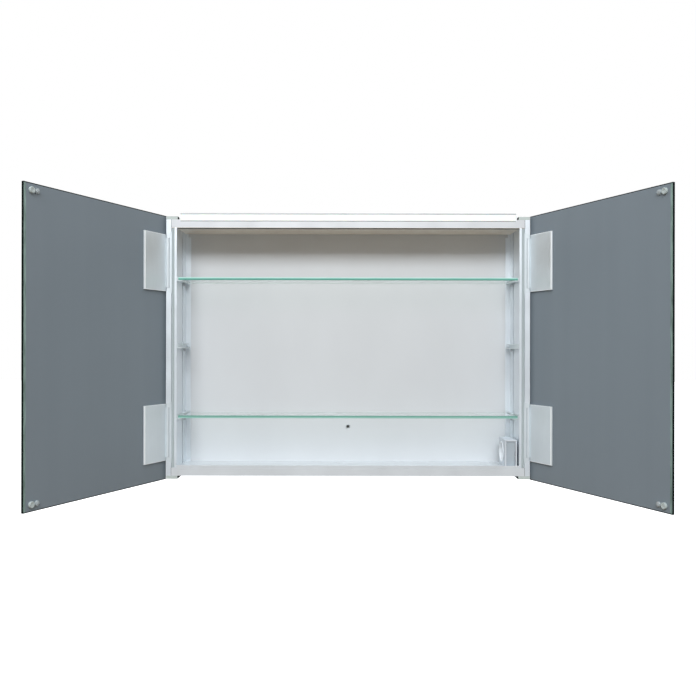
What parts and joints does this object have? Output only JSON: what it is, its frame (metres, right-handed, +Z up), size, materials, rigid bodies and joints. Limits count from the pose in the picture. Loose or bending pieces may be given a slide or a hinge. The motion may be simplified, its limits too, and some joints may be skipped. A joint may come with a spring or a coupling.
{
  "type": "mirror cabinet",
  "caption": "Wall-hung bathroom mirror cabinet with hinged mirror doors, glass shelves on clamped carriers, a light bar on top and a socket box with a switch.",
  "frame": {"origin": "centre of the top panel's rear face, where the cabinet meets the wall; the cabinet's mid-height is 273 mm below it", "axes": "+X along the wall to the right as seen from the room, +Y into the wall, +Z up"},
  "size_m": [1.1428, 0.4653, 0.587],
  "materials": {
    "anodised_aluminium": "satin anodised",
    "white_sheet": "matt light grey-white coating",
    "cap_plastic": "fine matt, light grey",
    "zinc_steel": "bright zinc",
    "bush_metal": "turned",
    "black_rubber": "matt",
    "opal_cover": "opal, lets light through",
    "lamp_board": "white circuit board with lamps",
    "white_plastic": "moulded",
    "black_plastic": "moulded",
    "lead_jacket": "smooth grey jacket",
    "shelf_glass": "clear float glass with polished green edges",
    "carrier_metal": "satin anodised",
    "light_grey_plastic": "moulded, light grey",
    "grey_plastic": "moulded, grey",
    "mirror_glass": "silvered outside, slate grey backing inside",
    "hinge_metal": "satin anodised",
    "foam_tape": "foam",
    "clear_rubber": "soft, clear to white"
  },
  "bodies": {
    "cabinet": {"left_side_panel": "anodised_aluminium", "right_side_panel": "anodised_aluminium", "top_panel": "anodised_aluminium", "bottom_panel": "anodised_aluminium", "back_panel": "white_sheet", "upper_left_end_cap": "cap_plastic", "upper_right_end_cap": "cap_plastic", "lower_left_end_cap": "cap_plastic", "lower_right_end_cap": "cap_plastic", "frame_screws": "zinc_steel", "fixing_bush": "bush_metal", "left_hanging_bracket": "zinc_steel", "right_hanging_bracket": "zinc_steel", "hanging_bracket_screws": "zinc_steel", "wall_buffers": "black_rubber", "light_bar_housing": "anodised_aluminium", "light_bar_cover": "opal_cover", "light_bar_board": "lamp_board", "light_bar_ends": "anodised_aluminium", "lamp_driver": "white_plastic", "mains_terminal_box": "white_plastic", "mains_cable_gland": "black_plastic", "top_leads": "lead_jacket", "socket_lead": "lead_jacket", "spare_left_carrier": "carrier_metal", "spare_right_carrier": "carrier_metal", "spare_carrier_screws": "zinc_steel", "spare_channel_nuts": "zinc_steel", "socket_box": "light_grey_plastic", "socket_insert": "light_grey_plastic", "socket_earth_clips": "zinc_steel", "switch_module": "black_plastic", "upper_left_hinge_base": "hinge_metal", "lower_left_hinge_base": "hinge_metal", "upper_right_hinge_base": "hinge_metal", "lower_right_hinge_base": "hinge_metal", "hinge_pins": "zinc_steel", "hinge_base_screws": "zinc_steel"},
    "upper_shelf_set": {"upper_shelf": "shelf_glass", "upper_left_carrier": "carrier_metal", "upper_right_carrier": "carrier_metal", "upper_carrier_screws": "zinc_steel", "upper_channel_nuts": "zinc_steel"},
    "lower_shelf_set": {"lower_shelf": "shelf_glass", "lower_left_carrier": "carrier_metal", "lower_right_carrier": "carrier_metal", "lower_carrier_screws": "zinc_steel", "lower_channel_nuts": "zinc_steel"},
    "left_door": {"left_door_mirror": "mirror_glass", "upper_left_hinge_plate": "hinge_metal", "lower_left_hinge_plate": "hinge_metal", "left_hinge_pads": "foam_tape", "left_door_buffers": "clear_rubber"},
    "right_door": {"right_door_mirror": "mirror_glass", "upper_right_hinge_plate": "hinge_metal", "lower_right_hinge_plate": "hinge_metal", "right_hinge_pads": "foam_tape", "right_door_buffers": "clear_rubber"},
    "rocker": {"switch_rocker": "grey_plastic"}
  },
  "joints": [
    {"name": "left_door_hinge", "type": "hinge", "parent": "cabinet", "child": "left_door", "pos_m": [-0.397, -0.1075, -0.273], "axis": [0, 0, 1], "range_deg": [0, 114.3]},
    {"name": "right_door_hinge", "type": "hinge", "parent": "cabinet", "child": "right_door", "pos_m": [0.397, -0.1075, -0.273], "axis": [0, 0, -1], "range_deg": [0, 114.3]},
    {"name": "upper_shelf_height", "type": "slide", "parent": "cabinet", "child": "upper_shelf_set", "axis": [0, 0, 1], "range_m": [-0.12, 0.1]},
    {"name": "lower_shelf_height", "type": "slide", "parent": "cabinet", "child": "lower_shelf_set", "axis": [0, 0, 1], "range_m": [-0.035, 0.12]},
    {"name": "rocker_tilt", "type": "hinge", "parent": "cabinet", "child": "rocker", "pos_m": [0.3597, -0.099, -0.5065], "axis": [1, 0, 0], "range_deg": [-8, 0]}
  ]
}
